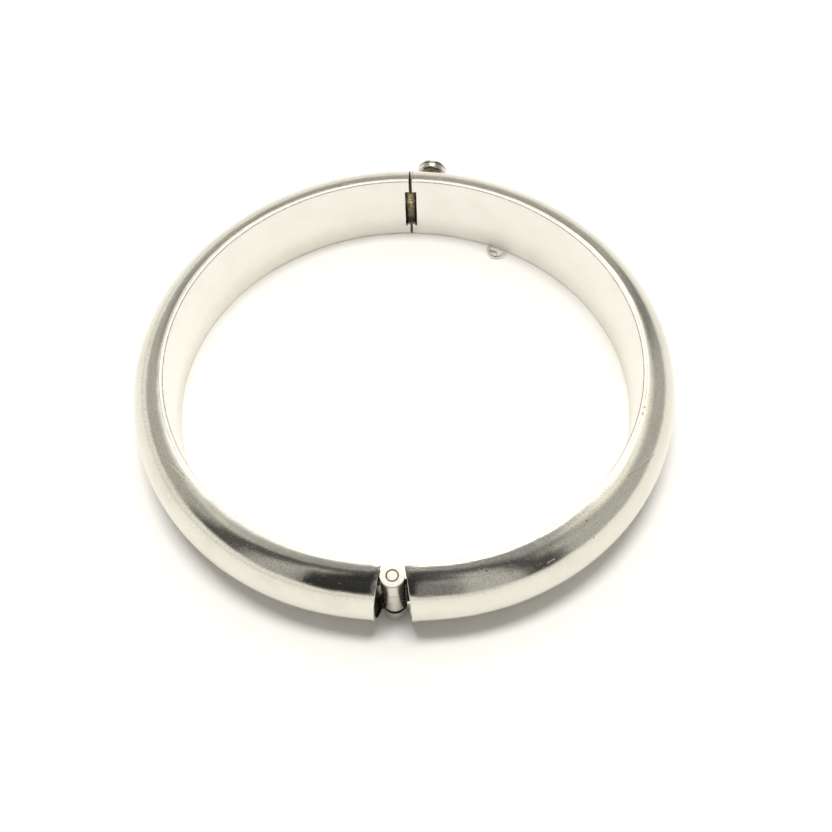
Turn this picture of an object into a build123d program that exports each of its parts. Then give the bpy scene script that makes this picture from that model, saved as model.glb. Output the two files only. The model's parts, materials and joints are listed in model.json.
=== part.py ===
from build123d import *
import os
from math import asin, cos, radians, sin, sqrt

os.makedirs("parts", exist_ok=True)

# Hollow hinged bangle. Units are millimetres, +Z is up, and the band stands on Z = 0.
# The origin is the middle of the wrist opening. The hinge is at -Y and the clasp at +Y.

# ---- band -------------------------------------------------------------------------------
band_height = 10.6
band_depth = 4.7
liner_thickness = 0.45
shell_thickness = 0.5
mid_height = band_height / 2
dome_depth = band_depth - liner_thickness

# Inside plan of one half: three tangent arcs, from the clasp round to the hinge.
back_radius = 30.0
back_angle = 48.0
front_radius = 43.0
front_angle = 8.0
side_angle = 180 - back_angle - front_angle
back_sine = sin(radians(back_angle))
front_sine = sin(radians(front_angle))
side_radius = (back_radius * back_sine - front_radius * front_sine) / (back_sine - front_sine)

# ---- hinge ------------------------------------------------------------------------------
knuckle_radius = 1.38
pin_radius = 0.65
pin_running_clearance = 0.04
pin_axis_depth = 1.57
hinge_end_x = 1.52
hinge_end_tilt = 11.0
hinge_plate_recess = 0.3
plate_thickness = 0.5
knuckle_web_width = 1.2
knuckle_web_shift = 0.45
knuckle_edge_break = 0.08
top_knuckle = (7.6, band_height)
top_web = (7.9, 9.3)
middle_knuckle = (2.7, 7.54)
middle_web = (3.0, 7.0)
bottom_knuckle = (0.0, 2.2)
bottom_web = (0.3, 1.9)

# ---- clasp ------------------------------------------------------------------------------
seam_gap = 0.24
window_half_width = 0.8
window_height = 6.6
tooth_width = 0.3
tooth_depth = 0.35
roll_radius = 0.68
roll_depth = 0.75
roll_height = 6.4
roll_edge_break = 0.25
leaf_depth = 1.4
leaf_thickness = 0.3
leaf_width = 4.8
leaf_root_x = -3.0
leaf_tip_x = 6.8
fold_radius = 0.55
fold_clearance = 0.06
mouth_depth = 3.15
mouth_height = 5.2
spring_free_x = 0.85
catch_clearance = 0.06

# ---- push button ------------------------------------------------------------------------
button_angle = 4.3
stem_radius = 0.45
stem_slot_clearance = 0.17
stem_slot_end_x = 3.35
head_radius = 2.12
head_base_depth = 6.0
head_cup_depth = 0.6
head_wall = 0.37
head_band_height = 0.84
head_groove_radius = 1.86
head_groove_width = 0.14
head_crown_radius = 2.02
head_crown_edge = 0.3
head_total_height = 1.9
head_edge_round = 0.08

# ---- safety chain loop ------------------------------------------------------------------
loop_angle = 24.4
loop_radius = 1.2
loop_wire_radius = 0.22
loop_foot = 0.35
loop_reach = 0.55
curl_wire_radius = 0.15
curl_bend_radius = 0.3
curl_shape = [(-1.08, -0.45), (0.1, -0.25), (0.42, -0.62), (0.35, -1.12)]

# ---- places worked out from the dimensions ----------------------------------------------
back_cosine = cos(radians(back_angle))
front_cosine = cos(radians(front_angle))
plan_length = (
    back_radius * (1 - back_cosine)
    + side_radius * (back_cosine + front_cosine)
    + front_radius * (1 - front_cosine)
)
clasp_y = plan_length / 2
hinge_y = -clasp_y - pin_axis_depth
back_centre = Vector(0, clasp_y - back_radius)
side_centre = back_centre + Vector(back_sine, back_cosine) * (back_radius - side_radius)
front_centre = Vector(0, front_radius - clasp_y)
pin_reach = clasp_y - hinge_y

half_plan = [
    (back_centre, back_radius, 0.0, back_angle),
    (side_centre, side_radius, back_angle, side_angle),
    (front_centre, front_radius, back_angle + side_angle, front_angle),
]


# ---- helpers ----------------------------------------------------------------------------
def outward(bearing):
    """Unit vector in plan, with the bearing counted clockwise from +Y."""
    return Vector(sin(radians(bearing)), cos(radians(bearing)), 0)


def wall_plane(centre, radius, bearing):
    """Upright plane across the band: its X points outward and its Y points up."""
    across = outward(bearing)
    return Plane(origin=centre + across * radius, x_dir=across, z_dir=across.cross(Vector(0, 0, 1)))


def liner_section(plane):
    with BuildSketch(plane) as section:
        Rectangle(liner_thickness, band_height, align=(Align.MIN, Align.MIN))
    return section.sketch


def core_section(plane):
    """The hollow between the liner and the shell."""
    with BuildSketch(plane) as section:
        with Locations((liner_thickness, mid_height)):
            Ellipse(dome_depth - shell_thickness, mid_height - shell_thickness)
            Rectangle(dome_depth, band_height, align=(Align.MIN, Align.CENTER), mode=Mode.INTERSECT)
    return section.sketch


def shell_section(plane):
    with BuildSketch(plane) as section:
        with Locations((liner_thickness, mid_height)):
            Ellipse(dome_depth, mid_height)
            Ellipse(dome_depth - shell_thickness, mid_height - shell_thickness, mode=Mode.SUBTRACT)
            Rectangle(dome_depth, band_height, align=(Align.MIN, Align.CENTER), mode=Mode.INTERSECT)
    return section.sketch


def turn_band(section, arcs):
    """Turn a section of the band round each arc, clockwise from the clasp."""
    for centre, radius, bearing, angle in arcs:
        turning_axis = Axis(centre, (0, 0, -1))
        revolve(section(wall_plane(centre, radius, bearing)).faces(), turning_axis, angle)


def hinge_cut(recess=0.0):
    """Slanted end plane of the right half at the hinge, facing the hinge pin."""
    facing = Vector(-cos(radians(hinge_end_tilt)), -sin(radians(hinge_end_tilt)), 0)
    return Plane(origin=Vector(hinge_end_x, hinge_y, 0) - facing * recess, z_dir=facing)


def clasp_cut(recess=0.0):
    """Upright end plane of the right half at the clasp, facing the seam."""
    return Plane(origin=(seam_gap / 2 + recess, clasp_y, 0), z_dir=(-1, 0, 0))


def corner_box(x_range, y_range, z_range, mode=Mode.SUBTRACT):
    """A plain box between two corners, cut away unless mode says otherwise."""
    spans = [x_range, y_range, z_range]
    sizes = [high - low for low, high in spans]
    middle = [(high + low) / 2 for low, high in spans]
    with Locations(Vector(*middle)):
        Box(*sizes, mode=mode)


def pin_arc(depth, x):
    """Point on the circle about the hinge pin that crosses the seam at this depth."""
    radius = pin_reach + depth
    return (x, hinge_y + radius * cos(asin(x / radius)))


# ---- half bands -------------------------------------------------------------------------
window_low = mid_height - window_height / 2
window_high = mid_height + window_height / 2
loop_plane = Plane(
    origin=back_centre + outward(loop_angle) * back_radius,
    x_dir=outward(loop_angle + 90),
    z_dir=(0, 0, 1),
)


def cut_liner_ends():
    """Trim the liner at both ends and cut its half of the window, with the saw tooth below."""
    corner_box((-1, hinge_end_x), (-clasp_y - 1, 0), (-1, band_height + 1))
    split(bisect_by=clasp_cut(), keep=Keep.BOTTOM)
    through_wall = (clasp_y - 1, clasp_y + liner_thickness + 1)
    tooth_x = (window_half_width - tooth_width, window_half_width)
    corner_box((0, window_half_width), through_wall, (window_low, window_high))
    corner_box(tooth_x, through_wall, (window_low - tooth_depth, mid_height))


def cut_shell_ends():
    split(bisect_by=hinge_cut(), keep=Keep.BOTTOM)
    split(bisect_by=clasp_cut(), keep=Keep.BOTTOM)


with BuildPart() as right_liner:
    turn_band(liner_section, half_plan)
    cut_liner_ends()
    with BuildSketch(loop_plane):
        with GridLocations(2 * loop_radius, 0, 2, 1):
            Rectangle(2 * loop_wire_radius, 2 * loop_foot)
    extrude(amount=2 * loop_wire_radius, mode=Mode.SUBTRACT)

with BuildPart() as left_liner:
    turn_band(liner_section, half_plan)
    cut_liner_ends()
    mirror(about=Plane.YZ, mode=Mode.REPLACE)

with BuildPart() as right_shell:
    turn_band(shell_section, half_plan)
    cut_shell_ends()
    stem_slot = stem_radius + stem_slot_clearance
    slot_y = (clasp_y + 2, clasp_y + band_depth + 1)
    corner_box((0, stem_slot_end_x), slot_y, (mid_height - stem_slot, mid_height + stem_slot))

with BuildPart() as left_shell:
    turn_band(shell_section, half_plan)
    cut_shell_ends()
    mirror(about=Plane.YZ, mode=Mode.REPLACE)

# ---- hinge ------------------------------------------------------------------------------


def hinge_plate_body():
    """Plate inside the shell, set back from its slanted end."""
    turn_band(core_section, half_plan[2:])
    split(bisect_by=hinge_cut(hinge_plate_recess), keep=Keep.BOTTOM)
    split(bisect_by=hinge_cut(hinge_plate_recess + plate_thickness), keep=Keep.TOP)


def knuckle_body(z_range, web_range, bore_radius):
    """Tube round the pin, with a lower web that reaches the hinge plate."""
    low, high = z_range
    with BuildSketch(Plane.XY.offset(low)) as tube:
        with Locations((0, hinge_y)):
            Circle(knuckle_radius)
    extrude(tube.sketch, amount=high - low)
    web_middle = hinge_y + knuckle_web_shift
    web_y = (web_middle - knuckle_web_width / 2, web_middle + knuckle_web_width / 2)
    corner_box((0, 2 * hinge_end_x), web_y, web_range, mode=Mode.ADD)
    split(bisect_by=hinge_cut(hinge_plate_recess), keep=Keep.TOP)
    with BuildSketch(Plane.XY.offset(low)) as bore:
        with Locations((0, hinge_y)):
            Circle(bore_radius)
    extrude(bore.sketch, amount=high - low, mode=Mode.SUBTRACT)
    bore_rims = edges().filter_by(GeomType.CIRCLE).filter_by(lambda e: abs(e.radius - bore_radius) < 0.001)
    chamfer(bore_rims, knuckle_edge_break)


with BuildPart() as right_hinge_plate:
    hinge_plate_body()

with BuildPart() as left_hinge_plate:
    hinge_plate_body()
    mirror(about=Plane.YZ, mode=Mode.REPLACE)

with BuildPart() as hinge_knuckle_top:
    knuckle_body(top_knuckle, top_web, pin_radius)
    mirror(about=Plane.YZ, mode=Mode.REPLACE)
    add(left_shell.part, mode=Mode.SUBTRACT)

with BuildPart() as hinge_knuckle_middle:
    knuckle_body(middle_knuckle, middle_web, pin_radius + pin_running_clearance)

with BuildPart() as hinge_knuckle_bottom:
    knuckle_body(bottom_knuckle, bottom_web, pin_radius)
    mirror(about=Plane.YZ, mode=Mode.REPLACE)
    add(left_shell.part, mode=Mode.SUBTRACT)

with BuildPart() as hinge_pin:
    with BuildSketch():
        with Locations((0, hinge_y)):
            Circle(pin_radius)
    extrude(amount=band_height)
    chamfer(edges().filter_by(GeomType.CIRCLE), knuckle_edge_break)

# ---- clasp ------------------------------------------------------------------------------
fold_centre = pin_arc(leaf_depth + fold_radius, leaf_tip_x)
free_end = pin_arc(mouth_depth - catch_clearance - leaf_thickness / 2, spring_free_x)
spring_run = Vector(*fold_centre) - Vector(*free_end)
spring_normal = Vector(-spring_run.Y, spring_run.X).normalized()


def clasp_plate_body():
    """Plate that closes the band at the seam."""
    turn_band(core_section, half_plan[:1])
    split(bisect_by=clasp_cut(), keep=Keep.BOTTOM)
    split(bisect_by=clasp_cut(plate_thickness), keep=Keep.TOP)


with BuildPart() as tongue_leaf:
    with BuildSketch(Plane.XY.offset(mid_height - leaf_width / 2)):
        with BuildLine():
            near_arc = ThreePointArc(*[pin_arc(leaf_depth, x) for x in (leaf_root_x, 0, leaf_tip_x)])
            far_depth = leaf_depth + leaf_thickness
            far_arc = ThreePointArc(*[pin_arc(far_depth, x) for x in (leaf_root_x, 0, leaf_tip_x)])
            Line(near_arc @ 0, far_arc @ 0)
            Line(near_arc @ 1, far_arc @ 1)
        make_face()
        with Locations(fold_centre):
            Circle(fold_radius)
    extrude(amount=leaf_width)

with BuildPart() as locating_roll:
    with BuildSketch(Plane.XY.offset(mid_height - roll_height / 2)):
        with Locations((0, clasp_y + roll_depth)):
            Circle(roll_radius)
    extrude(amount=roll_height)
    fillet(edges().filter_by(GeomType.CIRCLE), roll_edge_break)
    add(tongue_leaf.part, mode=Mode.SUBTRACT)

with BuildPart() as left_clasp_plate:
    clasp_plate_body()
    mirror(about=Plane.YZ, mode=Mode.REPLACE)
    roll_room = (clasp_y, clasp_y + leaf_depth)
    corner_box((-window_half_width, 0), roll_room, (window_low, window_high))
    add(tongue_leaf.part, mode=Mode.SUBTRACT)


def catch_lip_body(kept_side):
    """Upper or lower half of the plate with the mouth, which the slot for the stem parts in two."""
    clasp_plate_body()
    plate_x = (0, 2 * plate_thickness)
    mouth_low = mid_height - mouth_height / 2
    corner_box(plate_x, roll_room, (window_low, window_high))
    corner_box(plate_x, (clasp_y, clasp_y + mouth_depth), (mouth_low, mouth_low + mouth_height))
    corner_box(plate_x, slot_y, (mid_height - stem_slot, mid_height + stem_slot))
    split(bisect_by=Plane.XY.offset(mid_height), keep=kept_side)


with BuildPart() as catch_lip_upper:
    catch_lip_body(Keep.TOP)

with BuildPart() as catch_lip_lower:
    catch_lip_body(Keep.BOTTOM)

with BuildPart() as spring_leaf:
    with BuildSketch(Plane.XY.offset(mid_height - leaf_width / 2)):
        with BuildLine():
            half_leaf = spring_normal * (leaf_thickness / 2)
            Polyline(
                Vector(*free_end) + half_leaf,
                Vector(*fold_centre) + half_leaf,
                Vector(*fold_centre) - half_leaf,
                Vector(*free_end) - half_leaf,
                close=True,
            )
        make_face()
        with Locations(fold_centre):
            Circle(fold_radius + fold_clearance, mode=Mode.SUBTRACT)
    extrude(amount=leaf_width)

# ---- push button ------------------------------------------------------------------------
button_plane = Plane(
    origin=back_centre + outward(button_angle) * (back_radius + head_base_depth) + Vector(0, 0, mid_height),
    x_dir=outward(button_angle + 90),
    z_dir=(0, 0, 1),
)
button_axis = Axis(button_plane.origin, outward(button_angle))
spring_face = Plane(origin=Vector(*free_end) + spring_normal * (leaf_thickness / 2), z_dir=spring_normal)

with BuildPart() as button_stem:
    with BuildSketch(button_plane):
        with Locations((0, head_cup_depth)):
            Rectangle(stem_radius, head_base_depth, align=(Align.MIN, Align.MAX))
    revolve(axis=button_axis)
    split(bisect_by=spring_face, keep=Keep.TOP)

with BuildPart() as button_head:
    with BuildSketch(button_plane):
        groove_top = head_band_height + head_groove_width
        crown_low = groove_top + head_crown_edge
        crown_rise = head_total_height - crown_low
        crown_sphere = (head_crown_radius**2 + crown_rise**2) / (2 * crown_rise)
        mid_radius = head_crown_radius / 2
        mid_drop = crown_sphere - sqrt(crown_sphere**2 - mid_radius**2)
        crown_mid = (mid_radius, head_total_height - mid_drop)
        with BuildLine():
            Polyline(
                (0, head_total_height),
                (0, head_cup_depth),
                (head_radius - head_wall, head_cup_depth),
                (head_radius - head_wall, 0),
                (head_radius - head_edge_round, 0),
                (head_radius, head_edge_round),
                (head_radius, head_band_height - head_edge_round),
                (head_radius - head_edge_round, head_band_height),
                (head_groove_radius, head_band_height),
                (head_groove_radius, groove_top),
                (head_crown_radius, groove_top),
                (head_crown_radius, crown_low),
            )
            ThreePointArc((head_crown_radius, crown_low), crown_mid, (0, head_total_height))
        make_face()
    revolve(axis=button_axis)

# ---- safety chain loop ------------------------------------------------------------------
# Depths here are negative towards the middle of the bangle.
with BuildPart() as chain_loop:
    wire_plane = loop_plane.offset(loop_wire_radius)
    with BuildLine(wire_plane) as loop_path:
        Line((-loop_radius, loop_foot), (-loop_radius, -loop_reach))
        ThreePointArc((-loop_radius, -loop_reach), (0, -loop_reach - loop_radius), (loop_radius, -loop_reach))
        Line((loop_radius, -loop_reach), (loop_radius, loop_foot))
    with BuildSketch(Plane(origin=loop_path.line @ 0, z_dir=loop_path.line % 0)):
        Circle(loop_wire_radius)
    sweep(path=loop_path.line)
    with BuildLine(wire_plane) as curl_path:
        curl_corners = [(x, y - loop_reach) for x, y in curl_shape]
        FilletPolyline(*curl_corners, radius=curl_bend_radius)
    with BuildSketch(Plane(origin=curl_path.line @ 0, z_dir=curl_path.line % 0)):
        Circle(curl_wire_radius)
    sweep(path=curl_path.line)

# ---- write one STEP file for each piece -------------------------------------------------
pieces = {
    "left_shell": left_shell,
    "left_liner": left_liner,
    "left_hinge_plate": left_hinge_plate,
    "left_clasp_plate": left_clasp_plate,
    "right_shell": right_shell,
    "right_liner": right_liner,
    "right_hinge_plate": right_hinge_plate,
    "catch_lip_upper": catch_lip_upper,
    "catch_lip_lower": catch_lip_lower,
    "hinge_knuckle_top": hinge_knuckle_top,
    "hinge_knuckle_middle": hinge_knuckle_middle,
    "hinge_knuckle_bottom": hinge_knuckle_bottom,
    "hinge_pin": hinge_pin,
    "tongue_leaf": tongue_leaf,
    "locating_roll": locating_roll,
    "spring_leaf": spring_leaf,
    "button_stem": button_stem,
    "button_head": button_head,
    "chain_loop": chain_loop,
}
for label, piece in pieces.items():
    piece.part.label = label
    export_step(piece.part, f"parts/{label}.step")
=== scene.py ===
import json
import math

import bpy
from mathutils import Matrix, Vector, noise


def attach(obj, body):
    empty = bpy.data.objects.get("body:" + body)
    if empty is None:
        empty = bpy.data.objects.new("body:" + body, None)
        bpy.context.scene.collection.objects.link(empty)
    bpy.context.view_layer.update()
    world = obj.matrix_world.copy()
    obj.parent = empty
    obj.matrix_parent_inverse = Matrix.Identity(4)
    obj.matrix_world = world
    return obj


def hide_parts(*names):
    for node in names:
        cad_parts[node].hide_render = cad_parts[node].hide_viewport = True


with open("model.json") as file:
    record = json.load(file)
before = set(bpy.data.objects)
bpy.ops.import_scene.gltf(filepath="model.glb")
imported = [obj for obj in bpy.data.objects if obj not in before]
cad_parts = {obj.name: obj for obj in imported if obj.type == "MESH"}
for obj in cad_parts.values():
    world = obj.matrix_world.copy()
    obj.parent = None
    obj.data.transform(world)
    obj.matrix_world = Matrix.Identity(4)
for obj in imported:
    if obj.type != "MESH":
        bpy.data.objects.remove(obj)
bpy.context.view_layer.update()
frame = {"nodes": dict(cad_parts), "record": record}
scene = bpy.context.scene

# Lengths are millimetres in this file and turn into metres where objects are made.
MM = 0.001

# ---- band, as in the CAD ------------------------------------------------------------------
BAND_HEIGHT = 10.6
MID_HEIGHT = BAND_HEIGHT / 2
LINER_THICKNESS = 0.45
DOME_DEPTH = 4.25
SHELL_THICKNESS = 0.5
BACK_RADIUS, BACK_ANGLE = 30.0, 48.0
FRONT_RADIUS, FRONT_ANGLE = 43.0, 8.0
PIN_AXIS_DEPTH = 1.57
HINGE_END_X = 1.52
HINGE_END_TILT = 11.0
SEAM_HALF = 0.12
WINDOW_HALF_WIDTH = 0.8
WINDOW_LOW, WINDOW_HIGH = 2.0, 8.6
TOOTH_WIDTH, TOOTH_DEPTH = 0.3, 0.35


def sine(angle):
    return math.sin(math.radians(angle))


def cosine(angle):
    return math.cos(math.radians(angle))


SIDE_RADIUS = (BACK_RADIUS * sine(BACK_ANGLE) - FRONT_RADIUS * sine(FRONT_ANGLE)) / (
    sine(BACK_ANGLE) - sine(FRONT_ANGLE)
)
CLASP_Y = (
    BACK_RADIUS * (1 - cosine(BACK_ANGLE))
    + SIDE_RADIUS * (cosine(BACK_ANGLE) + cosine(FRONT_ANGLE))
    + FRONT_RADIUS * (1 - cosine(FRONT_ANGLE))
) / 2
HINGE_Y = -CLASP_Y - PIN_AXIS_DEPTH
BACK_CENTRE = (0.0, CLASP_Y - BACK_RADIUS)
SIDE_CENTRE = (
    BACK_CENTRE[0] + sine(BACK_ANGLE) * (BACK_RADIUS - SIDE_RADIUS),
    BACK_CENTRE[1] + cosine(BACK_ANGLE) * (BACK_RADIUS - SIDE_RADIUS),
)
FRONT_CENTRE = (0.0, FRONT_RADIUS - CLASP_Y)


def plan_point(bearing, offset):
    """Place at a bearing clockwise from the clasp, this far outside the right half's inner face."""
    if bearing < BACK_ANGLE:
        centre, radius = BACK_CENTRE, BACK_RADIUS
    elif bearing < 180 - FRONT_ANGLE:
        centre, radius = SIDE_CENTRE, SIDE_RADIUS
    else:
        centre, radius = FRONT_CENTRE, FRONT_RADIUS
    reach = radius + offset
    return centre[0] + reach * sine(bearing), centre[1] + reach * cosine(bearing)


def run_length(bearing):
    """Length along the inner wall from the clasp to a bearing."""
    back = min(bearing, BACK_ANGLE) * BACK_RADIUS
    side = max(0.0, min(bearing, 180 - FRONT_ANGLE) - BACK_ANGLE) * SIDE_RADIUS
    front = max(0.0, bearing - 180 + FRONT_ANGLE) * FRONT_RADIUS
    return math.radians(back + side + front)


def bearing_where(beyond, low, high):
    """Bearing between low and high at which beyond(bearing) turns true."""
    for _ in range(40):
        middle = (low + high) / 2
        if beyond(middle):
            high = middle
        else:
            low = middle
    return (low + high) / 2


# ---- camera ---------------------------------------------------------------------------------
CAMERA_PLACE = (6.05, -70.78, 117.11)
CAMERA_HEADING = -3.797
CAMERA_DIP = 59.871
CAMERA_ROLL = -2.314
CAMERA_LENS = 45.125


def make_camera():
    data = bpy.data.cameras.new("camera")
    data.lens = CAMERA_LENS
    data.sensor_width = 36
    data.clip_start = 0.005
    data.clip_end = 20
    camera = bpy.data.objects.new("camera", data)
    scene.collection.objects.link(camera)
    ahead = Vector((
        sine(CAMERA_HEADING) * cosine(CAMERA_DIP),
        cosine(CAMERA_HEADING) * cosine(CAMERA_DIP),
        -sine(CAMERA_DIP),
    ))
    level = Vector((cosine(CAMERA_HEADING), -sine(CAMERA_HEADING), 0))
    upright = level.cross(ahead)
    right = level * cosine(CAMERA_ROLL) + upright * sine(CAMERA_ROLL)
    up = upright * cosine(CAMERA_ROLL) - level * sine(CAMERA_ROLL)
    turn = Matrix((right, up, -ahead)).transposed()
    camera.matrix_world = Matrix.Translation(Vector(CAMERA_PLACE) * MM) @ turn.to_4x4()
    scene.camera = camera


make_camera()


# ---- shader graphs --------------------------------------------------------------------------
class Graph:
    """Adds nodes to one node tree and links them."""

    def __init__(self, owner):
        owner.use_nodes = True
        self.tree = owner.node_tree
        self.tree.nodes.clear()

    def node(self, kind, inputs=(), **settings):
        made = self.tree.nodes.new(kind)
        for name, value in settings.items():
            setattr(made, name, value)
        for key, value in dict(inputs).items():
            if isinstance(value, bpy.types.NodeSocket):
                self.tree.links.new(value, made.inputs[key])
            else:
                made.inputs[key].default_value = value
        return made

    def math(self, operation, a, b=0.0, c=0.0):
        return self.node("ShaderNodeMath", {0: a, 1: b, 2: c}, operation=operation).outputs[0]

    def ramp(self, value, low, high, start=0.0, end=1.0):
        """Smooth change from start to end as value goes from low to high."""
        inputs = {"Value": value, "From Min": low, "From Max": high, "To Min": start, "To Max": end}
        return self.node("ShaderNodeMapRange", inputs, interpolation_type="SMOOTHSTEP").outputs[0]

    def mix(self, factor, a, b):
        return self.node("ShaderNodeMix", {0: factor, 6: a, 7: b}, data_type="RGBA").outputs[2]

    def stretch(self, vector, scale, turn=(0, 0, 0)):
        inputs = {"Vector": vector, "Scale": scale, "Rotation": [math.radians(t) for t in turn]}
        return self.node("ShaderNodeMapping", inputs).outputs[0]

    def noise(self, vector, scale, detail=2.0, roughness=0.5):
        inputs = {"Vector": vector, "Scale": scale, "Detail": detail, "Roughness": roughness}
        return self.node("ShaderNodeTexNoise", inputs).outputs[0]

    def split(self, vector):
        return self.node("ShaderNodeSeparateXYZ", {0: vector}).outputs


# ---- surroundings ---------------------------------------------------------------------------
# Neutral studio panels. Azimuths are counted from the camera side towards +X, elevations from the
# horizon.
WORLD_STRENGTH = 1.0
FOLD_SHADE = (0.12, 0.118, 0.115, 1)
KEY_COLOUR = (0.93, 0.91, 0.88)
KEY_AZIMUTH, KEY_ELEVATION = -172, 84.5
KEY_DISTANCE = 0.60
KEY_WIDTH, KEY_DEPTH = 0.30, 0.13
KEY_RADIANCE = 28.0
FLOOR_REACH = 3.0
FLOOR_GAP = 0.02
TABLE_SHADE = (0.935, 0.925, 0.90, 1)
TABLE_WHITE = (0.96, 0.95, 0.93, 1)
WALL_WHITE = (1.0, 0.98, 0.91, 1)
WALL_CREAM = (0.56, 0.555, 0.515, 1)
CEILING = (0.40, 0.40, 0.38, 1)

# name: (azimuth, half width, soft edge, lowest elevation, soft edge, highest elevation, soft edge,
# colour), in degrees
PANELS = {
    "back_grey": (180, 30, 14, 26, 10, 43, 3, (0.42, 0.41, 0.37, 1)),
    "left_low_grey": (-144, 7, 6, 28, 8, 50, 8, (0.38, 0.38, 0.35, 1)),
    "right_low_grey": (141, 8, 7, 10, 8, 50, 8, (0.31, 0.31, 0.29, 1)),
    "left_softbox": (-122, 36, 24, 54, 8, 62, 6, (1.0, 0.985, 0.90, 1)),
    "right_softbox": (122, 32, 20, 46, 10, 67, 6, (1.25, 1.22, 1.08, 1)),
    "back_softbox": (180, 52, 22, 55, 6, 66, 3, (1.75, 1.74, 1.70, 1)),
    "back_softbox_top": (172, 16, 8, 58, 4, 73, 2, (2.6, 2.59, 2.55, 1)),
    "back_softbox_low": (180, 26, 9, 43, 2, 64, 4, (2.2, 2.18, 2.1, 1)),
    "front_overhead_flag": (0, 64, 30, 52, 8, 110, 12, (0.12, 0.12, 0.115, 1)),
    "left_flag": (-62, 12, 7, 15, 6, 78, 8, (0.11, 0.11, 0.105, 1)),
    "left_grey": (-39, 6, 3, 14, 6, 70, 6, (0.50, 0.495, 0.47, 1)),
    "camera_flag": (-14, 17, 3, 10, 6, 80, 6, (0.04, 0.04, 0.038, 1)),
    "right_dark_grey": (8, 8, 3, 4, 4, 48, 8, (0.26, 0.257, 0.245, 1)),
    "right_grey": (27, 7, 4, 4, 4, 70, 10, (0.58, 0.575, 0.545, 1)),
    "right_flag": (44, 8, 4, 2, 4, 74, 8, (0.09, 0.09, 0.087, 1)),
}


def make_world():
    world = bpy.data.worlds.new("studio")
    scene.world = world
    g = Graph(world)
    direction = g.node("ShaderNodeTexCoord").outputs["Generated"]
    x, y, z = g.split(g.node("ShaderNodeVectorMath", {0: direction}, operation="NORMALIZE").outputs[0])
    azimuth = g.math("ARCTAN2", x, g.math("MULTIPLY", y, -1.0))
    elevation = g.math("DEGREES", g.math("ARCSINE", z))
    tilt = g.math("MULTIPLY_ADD", g.math("SINE", azimuth), -8.0, 9.0)
    sweep = g.math("MULTIPLY_ADD", g.math("COSINE", azimuth), -3.0, tilt)
    above_sweep = g.math("SUBTRACT", elevation, sweep)
    drape = g.math("MULTIPLY_ADD", g.noise(direction, 3.2, 3.0), 8.0, -4.0)
    sag = g.math("MULTIPLY_ADD", g.noise(g.stretch(direction, (1, 1, 1), (90, 0, 40)), 2.6, 3.0), 3.0, -1.5)
    panel_azimuth = g.math("ADD", g.math("DEGREES", azimuth), drape)
    panel_elevation = g.math("ADD", elevation, sag)
    colour = g.mix(g.ramp(elevation, 62, 82), WALL_CREAM, CEILING)
    for centre, half, soft, low, low_soft, high, high_soft, panel in PANELS.values():
        turn = g.math("WRAP", g.math("SUBTRACT", panel_azimuth, centre), 180.0, -180.0)
        across = g.ramp(g.math("ABSOLUTE", turn), half + soft, half - soft)
        over = g.ramp(panel_elevation, low - low_soft, low + low_soft)
        under = g.ramp(panel_elevation, high + high_soft, high - high_soft)
        mask = g.math("MULTIPLY", across, g.math("MULTIPLY", over, under))
        colour = g.mix(mask, colour, panel)
    folds = g.noise(g.stretch(direction, (1.5, 1.5, 16)), 1.6, 3.0)
    colour = g.mix(g.ramp(folds, 0.50, 0.72, 0.0, 0.35), colour, FOLD_SHADE)
    colour = g.mix(g.ramp(above_sweep, -2.5, 2.5), WALL_WHITE, colour)
    background = g.node("ShaderNodeBackground", {"Color": colour, "Strength": WORLD_STRENGTH})
    g.node("ShaderNodeOutputWorld", {"Surface": background.outputs[0]})


def make_softbox(name, azimuth, elevation, distance, width, depth, radiance):
    """Oval soft light aimed at the bangle, in metres. It stays unseen in the silver."""
    data = bpy.data.lights.new(name, "AREA")
    data.shape = "ELLIPSE"
    data.size = width
    data.size_y = depth
    data.energy = radiance * math.pi * math.pi * width * depth / 4
    data.color = KEY_COLOUR
    light = bpy.data.objects.new(name, data)
    light.visible_glossy = False
    scene.collection.objects.link(light)
    towards = Vector((
        sine(azimuth) * cosine(elevation),
        -cosine(azimuth) * cosine(elevation),
        sine(elevation),
    ))
    light.location = towards * distance
    light.rotation_mode = "QUATERNION"
    light.rotation_quaternion = towards.to_track_quat("Z", "Y")


def make_floor():
    """Level white table just under the bangle."""
    mesh = bpy.data.meshes.new("floor")
    r = FLOOR_REACH
    mesh_corners = [(-r, -r, 0), (r, -r, 0), (r, r, 0), (-r, r, 0)]
    mesh.from_pydata(mesh_corners, [], [(0, 1, 2, 3)])
    floor = bpy.data.objects.new("floor", mesh)
    floor.location.z = -FLOOR_GAP * MM
    scene.collection.objects.link(floor)
    material = bpy.data.materials.new("table_white")
    g = Graph(material)
    place = g.node("ShaderNodeTexCoord").outputs["Object"]
    tone = g.mix(g.noise(place, 9.0, 3.0), TABLE_SHADE, TABLE_WHITE)
    shader = g.node("ShaderNodeBsdfPrincipled", {"Base Color": tone, "Roughness": 0.75})
    shader.inputs["Specular IOR Level"].default_value = 0.2
    g.node("ShaderNodeOutputMaterial", {"Surface": shader.outputs[0]})
    mesh.materials.append(material)


make_world()
make_softbox("overhead_key", KEY_AZIMUTH, KEY_ELEVATION, KEY_DISTANCE, KEY_WIDTH, KEY_DEPTH, KEY_RADIANCE)
make_floor()

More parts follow.
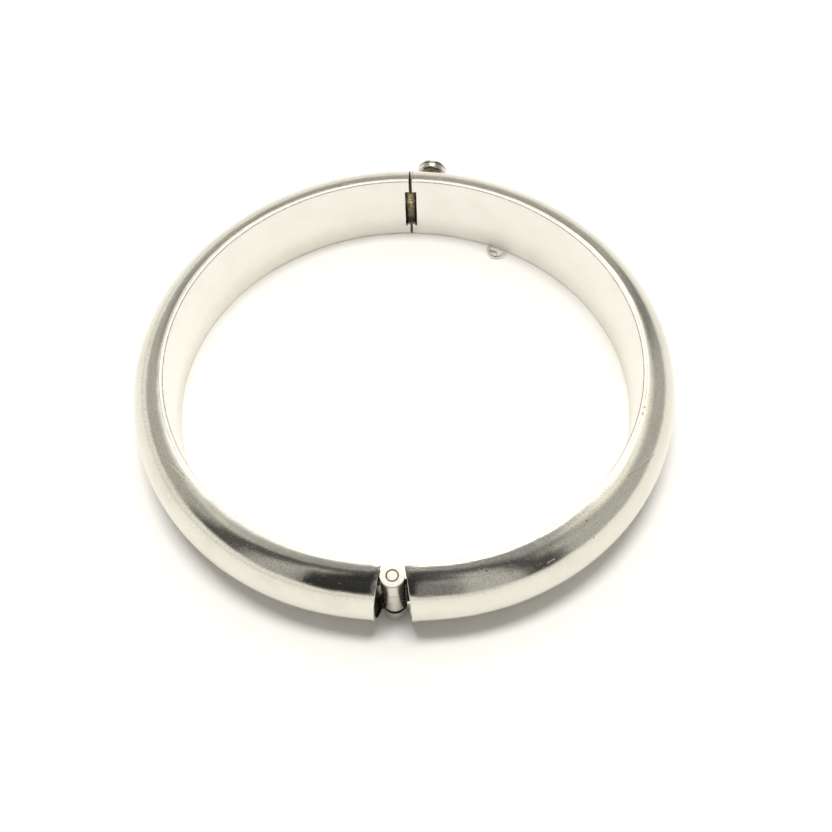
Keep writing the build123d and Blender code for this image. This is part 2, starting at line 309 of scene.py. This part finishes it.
# ---- silver ---------------------------------------------------------------------------------
CLEAN_SILVER = (0.755, 0.735, 0.665, 1)
DULL_SILVER = (0.62, 0.60, 0.52, 1)
# Brown and black patina colours. The same colours are also painted as shade: in the clasp seam, along the
# hinge disc's front edge, in the gap between the hinge knuckles and in the button's groove and hollow.
BROWN_PATINA_AND_SHADE = (0.23, 0.155, 0.095, 1)
BLACK_PATINA_AND_SHADE = (0.035, 0.028, 0.022, 1)
SATIN_SILVER = (0.97, 0.955, 0.91, 1)
SATIN_SHADE = (0.94, 0.925, 0.87, 1)
WALL_METALLIC = 0.65
SPECK_GREY = (0.30, 0.29, 0.26, 1)
BUTTON_ANGLE = 4.3
HEAD_BASE_DEPTH = 6.0
HEAD_INNER_RADIUS = 1.75
ROLL_GREY = (0.13, 0.105, 0.075, 1)
ROLL_TAN = (0.55, 0.43, 0.27, 1)
CREASE_HALF_WIDTH = 0.09
PIT_RADIUS = 0.17
# Millimetres from the clasp, then degrees round the dome, counted up from its middle.
CREASES = {
    "left": [(58.8, 68, 62.6, 83)],
    "right": [(56.5, 51, 60.7, 71), (72.7, 49, 73.5, 51)],
}
PITS = {
    "left": [(73.7, 60)],
    "right": [(80.3, 75), (79.8, 70), (67.8, 68), (51.8, 88), (52.7, 88)],
}

# Heights on the hinge, in millimetres: the joint under the top knuckle and the gap over the bottom one.
TOP_JOINT = 7.57
GAP_LOW, GAP_HIGH = 2.1, 2.45



def finish_silver(g, tone, roughness, height, depth, metallic=1.0):
    """Ends a silver graph: height in millimetres becomes a bump of the given strength."""
    bump = g.node("ShaderNodeBump", {"Strength": depth, "Distance": MM, "Height": height})
    shader = g.node("ShaderNodeBsdfPrincipled", {"Base Color": tone, "Roughness": roughness})
    shader.inputs["Metallic"].default_value = metallic
    g.tree.links.new(bump.outputs[0], shader.inputs["Normal"])
    g.node("ShaderNodeOutputMaterial", {"Surface": shader.outputs[0]})


def place_in_mm(g):
    inputs = {"Vector": g.node("ShaderNodeTexCoord").outputs["Object"], "Scale": (1000, 1000, 1000)}
    return g.node("ShaderNodeMapping", inputs).outputs[0]


def strongest(g, masks):
    total = masks[0]
    for mask in masks[1:]:
        total = g.math("MAXIMUM", total, mask)
    return total


def worn_surface(g, place):
    """Grain, scratches, pits and dull patches of polished silver, with place in millimetres."""
    grain = g.noise(place, 6.5, 3.0, 0.65)
    wobble = g.noise(place, 0.28, 1.0, 0.4)
    cuts = []
    for turn in ((0, 0, 12), (70, 20, -35), (25, 80, 60)):
        fine = g.noise(g.stretch(place, (0.35, 7.0, 7.0), turn), 1.0, 2.0, 0.7)
        cuts.append(g.ramp(fine, 0.68, 0.76))
    cell = g.node("ShaderNodeTexVoronoi", {"Vector": place, "Scale": 0.4})
    rare = g.math("GREATER_THAN", g.split(cell.outputs["Color"])[0], 0.90)
    near = g.ramp(cell.outputs["Distance"], 0.06, 0.02)
    pit = g.math("MULTIPLY", rare, near)
    smear = g.ramp(g.noise(place, 0.16, 4.0, 0.6), 0.48, 0.72)
    return grain, wobble, strongest(g, cuts), pit, smear


def silver_heights(g, grain, wobble, lines, pit):
    height = g.math("MULTIPLY", grain, 0.007)
    height = g.math("MULTIPLY_ADD", wobble, 0.05, height)
    height = g.math("MULTIPLY_ADD", lines, -0.004, height)
    return g.math("MULTIPLY_ADD", pit, -0.03, height)


def streak(g, along, around, start, end, half_width):
    """Mask of a thin straight mark between two places on the band map."""
    run_x, run_y = end[0] - start[0], end[1] - start[1]
    length = math.hypot(run_x, run_y)
    run_x, run_y = run_x / length, run_y / length
    x = g.math("SUBTRACT", along, start[0])
    y = g.math("SUBTRACT", around, start[1])
    forward = g.math("MULTIPLY_ADD", x, run_x, g.math("MULTIPLY", y, run_y))
    sideways = g.math("ABSOLUTE", g.math("MULTIPLY_ADD", x, -run_y, g.math("MULTIPLY", y, run_x)))
    middle = g.math("ABSOLUTE", g.math("SUBTRACT", forward, length / 2))
    within = g.ramp(middle, length / 2 + half_width, length / 2 - half_width)
    return g.math("MULTIPLY", within, g.ramp(sideways, half_width, half_width * 0.3))


def spot(g, along, around, centre, radius):
    x = g.math("SUBTRACT", along, centre[0])
    y = g.math("SUBTRACT", around, centre[1])
    distance = g.math("SQRT", g.math("MULTIPLY_ADD", x, x, g.math("MULTIPLY", y, y)))
    return g.ramp(distance, radius, radius * 0.5)


def dome_silver(side, top_mark, length, mark_at):
    """Polished silver outside. The map holds the lengths from the clasp and round the section."""
    material = bpy.data.materials.new(f"{side}_dome_silver")
    g = Graph(material)
    place = place_in_mm(g)
    along, around, _ = g.split(g.node("ShaderNodeUVMap", uv_map="band").outputs[0])
    grain, wobble, lines, pit, smear = worn_surface(g, place)
    blotch = g.noise(place, 1.6, 3.0, 0.6)
    tone = g.mix(g.math("MULTIPLY", smear, 0.5), CLEAN_SILVER, DULL_SILVER)
    tone = g.mix(g.math("MULTIPLY", lines, 0.25), tone, DULL_SILVER)
    rising = g.ramp(around, mark_at(25), mark_at(50))
    falling = g.ramp(around, mark_at(88), mark_at(78))
    speckled = g.math("MULTIPLY", rising, falling)
    speckled = g.math("MULTIPLY", speckled, g.ramp(grain, 0.50, 0.64, 0.0, 0.42))
    tone = g.mix(speckled, tone, SPECK_GREY)
    tone = g.mix(pit, tone, BROWN_PATINA_AND_SHADE)
    creases = [
        streak(g, along, around, (run, mark_at(angle)), (far_run, mark_at(far_angle)), CREASE_HALF_WIDTH)
        for run, angle, far_run, far_angle in CREASES[side]
    ]
    creases += [spot(g, along, around, (run, mark_at(angle)), PIT_RADIUS) for run, angle in PITS[side]]
    crease = strongest(g, creases)
    tone = g.mix(g.math("MULTIPLY", crease, 0.5), tone, BROWN_PATINA_AND_SHADE)
    groove = g.ramp(g.math("ABSOLUTE", g.math("SUBTRACT", around, top_mark)), 0.09, 0.03)
    groove = g.math("MULTIPLY", groove, g.ramp(blotch, 0.25, 0.55, 0.45, 1.0))
    groove = g.math("MULTIPLY", groove, g.ramp(along, 52, 68, 0.8, 0.15))
    stained = g.ramp(g.math("MULTIPLY_ADD", blotch, 1.8, along), length - 0.9, length - 0.3)
    stained = g.math("MULTIPLY", stained, g.ramp(around, mark_at(-5), mark_at(25)))
    tone = g.mix(strongest(g, [groove, g.math("MULTIPLY", stained, 0.7)]), tone, BROWN_PATINA_AND_SHADE)
    # Painted shade: the shell is painted black at its end by the clasp seam, so the gap between the halves
    # reads dark.
    seam_shade = g.ramp(g.math("MULTIPLY_ADD", blotch, 0.10, along), 0.32, 0.20)
    tone = g.mix(seam_shade, tone, BLACK_PATINA_AND_SHADE)
    roughness = g.math("MULTIPLY_ADD", smear, 0.05, 0.05)
    roughness = g.math("MULTIPLY_ADD", strongest(g, [groove, stained]), 0.3, roughness)
    roughness = g.math("MULTIPLY_ADD", seam_shade, 0.7, roughness)
    height = silver_heights(g, grain, wobble, lines, pit)
    finish_silver(g, tone, roughness, g.math("MULTIPLY_ADD", crease, -0.02, height), 1.0)
    return material


def wall_silver(side, length):
    """Satin silver inside. The map holds the length from the clasp and the height."""
    material = bpy.data.materials.new(f"{side}_wall_silver")
    g = Graph(material)
    place = place_in_mm(g)
    along, height_up, _ = g.split(g.node("ShaderNodeUVMap", uv_map="band").outputs[0])
    cloud = g.noise(place, 0.22, 4.0, 0.6)
    speck = g.ramp(g.noise(place, 3.4, 2.0, 0.55), 0.66, 0.76)
    blotch = g.noise(place, 1.6, 3.0, 0.6)
    tone = g.mix(g.ramp(cloud, 0.4, 0.7), SATIN_SILVER, SATIN_SHADE)
    tone = g.mix(g.math("MULTIPLY", speck, 0.3), tone, DULL_SILVER)
    from_top = g.math("ABSOLUTE", g.math("SUBTRACT", height_up, BAND_HEIGHT))
    from_foot = g.math("ABSOLUTE", height_up)
    rims = g.ramp(g.math("MINIMUM", from_top, from_foot), 0.07, 0.03)
    rims = g.math("MULTIPLY", rims, g.ramp(blotch, 0.25, 0.55, 0.35, 0.9))
    rims = g.math("MULTIPLY", rims, g.ramp(along, 52, 68, 0.8, 0.15))
    stained = g.ramp(g.math("MULTIPLY_ADD", blotch, 1.2, along), length - 1.2, length - 0.6)
    tone = g.mix(strongest(g, [rims, stained]), tone, BROWN_PATINA_AND_SHADE)
    # Painted shade: the wall is painted black at its end by the clasp seam, less towards the foot, so the
    # gap between the halves reads dark.
    seam_shade = g.ramp(g.math("MULTIPLY_ADD", blotch, 0.14, along), 0.33, 0.21)
    seam_shade = g.math("MULTIPLY", seam_shade, g.ramp(height_up, 1.2, 2.2, 0.6, 1.0))
    tone = g.mix(seam_shade, tone, BLACK_PATINA_AND_SHADE)
    roughness = g.math("MULTIPLY_ADD", cloud, 0.10, g.ramp(height_up, 1.0, 4.5, 0.75, 0.42))
    roughness = g.math("MULTIPLY_ADD", seam_shade, 0.2, roughness)
    height = g.math("MULTIPLY_ADD", cloud, 0.04, g.math("MULTIPLY", blotch, 0.006))
    finish_silver(g, tone, roughness, height, 0.8, WALL_METALLIC)
    return material


def small_silver(name, stains_and_shade=None, clean=CLEAN_SILVER, base_roughness=0.08):
    """Polished silver of the small pieces; the function passed in gives a brown mask and a black mask, of
    patina and of painted shade.
    """
    material = bpy.data.materials.new(name)
    g = Graph(material)
    place = place_in_mm(g)
    grain, wobble, lines, pit, smear = worn_surface(g, place)
    tone = g.mix(g.math("MULTIPLY", smear, 0.4), clean, DULL_SILVER)
    roughness = g.math("MULTIPLY_ADD", smear, 0.06, base_roughness)
    if stains_and_shade:
        brown, black = stains_and_shade(g, place)
        tone = g.mix(brown, tone, BROWN_PATINA_AND_SHADE)
        tone = g.mix(black, tone, BLACK_PATINA_AND_SHADE)
        roughness = g.math("MULTIPLY_ADD", strongest(g, [brown, black]), 0.3, roughness)
    finish_silver(g, tone, roughness, silver_heights(g, grain, wobble, lines, pit), 0.8)
    return material


def tarnished_silver(name, dark, worn, worn_share):
    """Oxidised silver, dark in general and lighter where it is worn."""
    material = bpy.data.materials.new(name)
    g = Graph(material)
    place = place_in_mm(g)
    patches = g.noise(place, 1.4, 4.0, 0.65)
    tone = g.mix(g.ramp(patches, 0.62 - worn_share, 0.72 - worn_share / 2), dark, worn)
    roughness = g.ramp(patches, 0.4, 0.7, 0.55, 0.32)
    height = g.math("MULTIPLY", g.noise(place, 6.0, 3.0, 0.6), 0.03)
    finish_silver(g, tone, roughness, height, 0.8)
    return material


def roll_silver():
    """Locating roll: brown-grey, lighter tan in a band high up, black at the foot."""
    material = bpy.data.materials.new("roll_silver")
    g = Graph(material)
    place = place_in_mm(g)
    height_up = g.split(place)[2]
    patches = g.noise(place, 1.8, 4.0, 0.65)
    tan_band = g.math("MULTIPLY", g.ramp(height_up, 4.4, 5.6), g.ramp(height_up, 8.5, 7.4))
    tone = g.mix(g.math("MULTIPLY", tan_band, g.ramp(patches, 0.44, 0.62)), ROLL_GREY, ROLL_TAN)
    tone = g.mix(g.ramp(g.math("MULTIPLY_ADD", patches, 1.5, height_up), 4.6, 3.6), tone, BLACK_PATINA_AND_SHADE)
    roughness = g.ramp(patches, 0.4, 0.7, 0.45, 0.3)
    height = g.math("MULTIPLY", g.noise(place, 5.0, 3.0, 0.6), 0.02)
    finish_silver(g, tone, roughness, height, 0.8)
    return material


def hinge_stains_and_shade(g, place):
    """Brown ring round the pin, a brown line at the joint under the top knuckle and black webs, with
    painted shade: a dark line along the top disc's front edge and black in the gap over the bottom knuckle.
    """
    x, y, z = g.split(place)
    from_axis = g.node("ShaderNodeCombineXYZ", {"X": x, "Y": g.math("SUBTRACT", y, HINGE_Y)}).outputs[0]
    radius = g.node("ShaderNodeVectorMath", {0: from_axis}, operation="LENGTH").outputs["Value"]
    blotch = g.noise(place, 1.8, 3.0, 0.6)
    ring = g.math("MULTIPLY", g.ramp(radius, 0.54, 0.60), g.ramp(radius, 0.77, 0.71))
    ring = g.math("MULTIPLY", ring, g.ramp(blotch, 0.35, 0.6, 0.35, 0.85))
    front = g.ramp(y, HINGE_Y - 0.2, HINGE_Y - 0.7)
    # Painted shade: a thin dark line along the top disc's outer edge, on its front side only.
    rim = g.math("MULTIPLY", g.ramp(radius, 1.29, 1.33), g.ramp(z, BAND_HEIGHT - 0.3, BAND_HEIGHT - 0.1))
    rim = g.math("MULTIPLY", g.math("MULTIPLY", rim, front), 0.6)
    from_joint = g.math("ABSOLUTE", g.math("SUBTRACT", z, TOP_JOINT))
    joint = g.math("MULTIPLY", g.ramp(from_joint, 0.11, 0.04), 0.5)
    brown = strongest(g, [ring, rim, joint])
    # Painted shade: black on the foot of the middle knuckle and on the top face of the bottom knuckle, so
    # the gap between them reads dark.
    knuckle_foot_shade = g.math("MULTIPLY", g.ramp(z, GAP_HIGH, GAP_HIGH + 0.05), g.ramp(z, 3.15, 2.95))
    gap_top_shade = g.math("MULTIPLY", g.ramp(z, GAP_LOW, GAP_LOW + 0.08), g.ramp(z, GAP_HIGH + 0.05, GAP_HIGH))
    gap_top_shade = g.math("MULTIPLY", gap_top_shade, g.ramp(radius, 1.31, 1.25))
    return brown, strongest(g, [knuckle_foot_shade, gap_top_shade, g.ramp(radius, 1.385, 1.41)])


def button_stains_and_shade(g, place):
    """Painted shade: black in the groove under the crown and brown in the hollow under the head."""
    x, y, z = g.split(place)
    out = g.math("MULTIPLY_ADD", x, sine(BUTTON_ANGLE), g.math("MULTIPLY", y, cosine(BUTTON_ANGLE)))
    out = g.math("SUBTRACT", out, BACK_CENTRE[1] * cosine(BUTTON_ANGLE) + BACK_RADIUS + HEAD_BASE_DEPTH)
    across = g.math("MULTIPLY_ADD", x, cosine(BUTTON_ANGLE), g.math("MULTIPLY", y, -sine(BUTTON_ANGLE)))
    across = g.math("ADD", across, BACK_CENTRE[1] * sine(BUTTON_ANGLE))
    up = g.math("SUBTRACT", z, MID_HEIGHT)
    radius = g.math("SQRT", g.math("MULTIPLY_ADD", across, across, g.math("MULTIPLY", up, up)))
    # Painted shade: black in the groove under the crown.
    groove = g.math("MULTIPLY", g.ramp(out, 0.76, 0.82), g.ramp(out, 1.06, 1.0))
    # Painted shade: brown in the hollow under the head, round the stem.
    inside = g.ramp(radius, HEAD_INNER_RADIUS + 0.06, HEAD_INNER_RADIUS)
    inside = g.math("MULTIPLY", inside, g.ramp(out, 0.72, 0.68))
    hollow_shade = g.math("MULTIPLY", inside, g.ramp(radius, 0.48, 0.56))
    crown = g.math("MULTIPLY", g.ramp(out, 0.95, 1.05), 0.35)
    band = g.math("MULTIPLY", g.ramp(radius, HEAD_INNER_RADIUS, HEAD_INNER_RADIUS + 0.1), 0.12)
    return strongest(g, [g.math("MULTIPLY", hollow_shade, 0.85), crown, band]), groove


SLOT_MATERIALS = {
    "polished_silver": small_silver("polished_silver"),
    "hinge_silver": small_silver("hinge_silver", hinge_stains_and_shade, base_roughness=0.24),
    "button_silver": small_silver("button_silver", button_stains_and_shade),
    "wire_silver": small_silver("wire_silver", clean=SATIN_SILVER),
    "tarnished_silver": tarnished_silver("tarnished_silver", BLACK_PATINA_AND_SHADE, (0.14, 0.11, 0.075, 1), 0.05),
    "spring_silver": tarnished_silver("spring_silver", (0.20, 0.17, 0.13, 1), (0.55, 0.50, 0.42, 1), 0.2),
}
node_materials = {row["node"]: SLOT_MATERIALS[row["material_slot"]] for row in frame["record"]["subparts"]}
node_materials["locating_roll"] = roll_silver()
for node_name, node_object in frame["nodes"].items():
    node_object.data.materials.clear()
    node_object.data.materials.append(node_materials[node_name])


# ---- band pieces ----------------------------------------------------------------------------
EDGE_ROUND = 0.07
WEAR_DEPTH = 0.018
WEAR_SIZE = 5.5
SHELL_STATIONS = 150
LINER_EDGE_ROUND = 0.1
LINER_WEAR_DEPTH = 0.010
LINER_WEAR_SIZE = 6.0
LINER_STATIONS = 170


def make_piece(name, body, points, faces, marks, material, mirrored, node):
    """Mesh object from right-half points in millimetres; marks are the map places of the points."""
    if mirrored:
        points = [(-x, y, z) for x, y, z in points]
        faces = [tuple(reversed(f)) for f in faces]
    mesh = bpy.data.meshes.new(name)
    mesh.from_pydata([Vector(p) * MM for p in points], [], faces)
    mesh.polygons.foreach_set("use_smooth", [True] * len(faces))
    uv = mesh.uv_layers.new(name="band")
    for loop in mesh.loops:
        uv.data[loop.index].uv = marks[loop.vertex_index]
    mesh.set_sharp_from_angle(angle=math.radians(38))
    mesh.materials.append(material)
    piece = bpy.data.objects.new(name, mesh)
    scene.collection.objects.link(piece)
    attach(piece, body)
    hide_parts(node)
    return piece


def hinge_bearing(offset):
    """Bearing at which the slanted hinge end cuts the band at this offset."""

    def beyond(bearing):
        x, y = plan_point(bearing, offset)
        return x < HINGE_END_X - math.tan(math.radians(HINGE_END_TILT)) * (y - HINGE_Y)

    return bearing_where(beyond, 150, 180)


def seam_bearing(offset, x=SEAM_HALF):
    return math.degrees(math.asin(x / (BACK_RADIUS + offset)))


def dome_turns():
    """Angles round the dome's section, closer together at its rims."""
    return [-90, -89.3, -88.4, -87, -85] + [-82 + 4.1 * i for i in range(41)] + [85, 87, 88.4, 89.3, 90]


def dome_ring():
    """Closed ring round the shell's section, as (offset, height, normal offset, normal height, mark)."""
    turns = dome_turns()
    ring = []
    mark = 0.0
    last = None
    for turn in turns:
        offset = LINER_THICKNESS + DOME_DEPTH * cosine(turn)
        height = MID_HEIGHT + MID_HEIGHT * sine(turn)
        normal = Vector((cosine(turn) / DOME_DEPTH, sine(turn) / MID_HEIGHT)).normalized()
        if last:
            mark += math.hypot(offset - last[0], height - last[1])
        last = (offset, height)
        ring.append((offset, height, normal.x, normal.y, mark))
    for turn in reversed(turns):
        offset = LINER_THICKNESS + (DOME_DEPTH - SHELL_THICKNESS) * cosine(turn)
        height = MID_HEIGHT + (MID_HEIGHT - SHELL_THICKNESS) * sine(turn)
        ring.append((offset, height, -cosine(turn), -sine(turn), -1.0))
    return ring


def shell_piece(side, mirrored):
    ring = dome_ring()
    count = len(ring)
    half = count // 2
    rounds = [0, 30, 60, 90]
    stations = [("start", t) for t in rounds] + [("run", i) for i in range(1, SHELL_STATIONS)]
    stations += [("end", t) for t in reversed(rounds)]
    limits = {}
    points, marks = [], []
    for kind, step in stations:
        for offset, height, out_n, up_n, mark in ring:
            if offset not in limits:
                limits[offset] = (seam_bearing(offset), hinge_bearing(offset))
            first, last = limits[offset]
            edge = math.degrees(EDGE_ROUND / (BACK_RADIUS + offset))
            inset = 0.0
            if kind == "start":
                bearing = first + edge * (1 - cosine(step))
                inset = EDGE_ROUND * (1 - sine(step))
            elif kind == "end":
                bearing = last - edge * (1 - cosine(step))
                inset = EDGE_ROUND * (1 - sine(step))
            else:
                bearing = first + edge + (last - first - 2 * edge) * step / SHELL_STATIONS
            worn_offset, worn_height = offset - inset * out_n, height - inset * up_n
            x, y = plan_point(bearing, worn_offset)
            if mark > 0:
                seed = Vector((x, y, worn_height)) / WEAR_SIZE
                if mirrored:
                    seed.x += 40
                wear = WEAR_DEPTH * (0.5 + 0.5 * noise.noise(seed))
                x, y = plan_point(bearing, worn_offset - wear * out_n)
                worn_height -= wear * up_n
            points.append((x, y, worn_height))
            marks.append((run_length(bearing), mark))
    faces = []
    for s in range(len(stations) - 1):
        for i in range(count):
            a, b = s * count + i, s * count + (i + 1) % count
            faces.append((a, b, b + count, a + count))
    last_start = (len(stations) - 1) * count
    for i in range(half - 1):
        mate = count - 1 - i
        faces.append((i, mate, mate - 1, i + 1))
        faces.append((last_start + i, last_start + i + 1, last_start + mate - 1, last_start + mate))
    turns = dome_turns()

    def mark_at(angle):
        """Mark of the ring's outer point nearest to an angle round the dome."""
        nearest = min(range(len(turns)), key=lambda i: abs(turns[i] - angle))
        return ring[nearest][4]

    material = dome_silver(side, ring[half - 1][4], run_length(180), mark_at)
    name, body, node = f"{side}_dome", f"{side}_half", f"{side}_shell"
    return make_piece(name, body, points, faces, marks, material, mirrored, node)


def liner_piece(side, mirrored):
    """Inner wall, as a sheet of cells that leaves out its half of the clasp window."""
    tooth_x = WINDOW_HALF_WIDTH - TOOTH_WIDTH
    tooth_low = WINDOW_LOW - TOOTH_DEPTH
    end_places = (SEAM_HALF, (SEAM_HALF + tooth_x) / 2, tooth_x, 0.65, WINDOW_HALF_WIDTH)
    ends = [seam_bearing(0, x) for x in end_places]
    hinge_end = 180 - math.degrees(math.asin(HINGE_END_X / FRONT_RADIUS))
    run = LINER_STATIONS
    bearings = ends + [ends[-1] + (hinge_end - ends[-1]) * i / run for i in range(1, run + 1)]
    edge = LINER_EDGE_ROUND
    low_rims = [edge * (1 - cosine(t)) for t in (0, 30, 60, 90)]
    heights = low_rims + [0.8, tooth_low, WINDOW_LOW, 3.3, 4.6, 6.0, 7.3, WINDOW_HIGH, 9.6]
    heights += [BAND_HEIGHT - h for h in reversed(low_rims)]

    def inner_offset(height):
        to_rim = min(height, BAND_HEIGHT - height)
        if to_rim >= edge:
            return 0.0
        return edge - math.sqrt(max(0.0, edge**2 - (edge - to_rim) ** 2))

    columns, rows = len(bearings), len(heights)
    points, marks = [], []
    for bearing in bearings:
        for height in heights:
            x, y = plan_point(bearing, inner_offset(height))
            seed = Vector((x, y, height)) / LINER_WEAR_SIZE
            wear = LINER_WEAR_DEPTH * (0.5 + 0.5 * noise.noise(seed))
            x, y = plan_point(bearing, inner_offset(height) + wear)
            points.append((x, y, height))
            marks.append((run_length(bearing), height))
    outer_start = len(points)
    for bearing in bearings:
        for height in heights:
            points.append((*plan_point(bearing, LINER_THICKNESS), height))
            rim = LINER_THICKNESS if height > MID_HEIGHT else -LINER_THICKNESS
            marks.append((run_length(bearing), height + rim))

    def solid(column, row):
        if not (0 <= column < columns - 1 and 0 <= row < rows - 1):
            return False
        x = plan_point((bearings[column] + bearings[column + 1]) / 2, 0)[0]
        height = (heights[row] + heights[row + 1]) / 2
        near_clasp = column < len(ends) - 1
        in_window = near_clasp and WINDOW_LOW < height < WINDOW_HIGH
        in_tooth = near_clasp and x > tooth_x and tooth_low < height < WINDOW_LOW
        return not (in_window or in_tooth)

    def corner(column, row, layer=0):
        return layer * outer_start + column * rows + row

    faces = []
    for c in range(columns - 1):
        for r in range(rows - 1):
            if not solid(c, r):
                continue
            faces.append((corner(c, r), corner(c, r + 1), corner(c + 1, r + 1), corner(c + 1, r)))
            outer = ((c, r), (c + 1, r), (c + 1, r + 1), (c, r + 1))
            faces.append(tuple(corner(*place, 1) for place in outer))
            sides = {
                (c, r - 1): ((c, r), (c + 1, r)),
                (c, r + 1): ((c + 1, r + 1), (c, r + 1)),
                (c - 1, r): ((c, r + 1), (c, r)),
                (c + 1, r): ((c + 1, r), (c + 1, r + 1)),
            }
            for neighbour, (a, b) in sides.items():
                if not solid(*neighbour):
                    faces.append((corner(*a), corner(*b), corner(*b, 1), corner(*a, 1)))
    material = wall_silver(side, run_length(180))
    name, body, node = f"{side}_wall", f"{side}_half", f"{side}_liner"
    return make_piece(name, body, points, faces, marks, material, mirrored, node)


for band_side in ("left", "right"):
    shell_piece(band_side, band_side == "left")
    liner_piece(band_side, band_side == "left")

# ---- colour ---------------------------------------------------------------------------------
scene.view_settings.view_transform = "Standard"
scene.view_settings.look = "None"
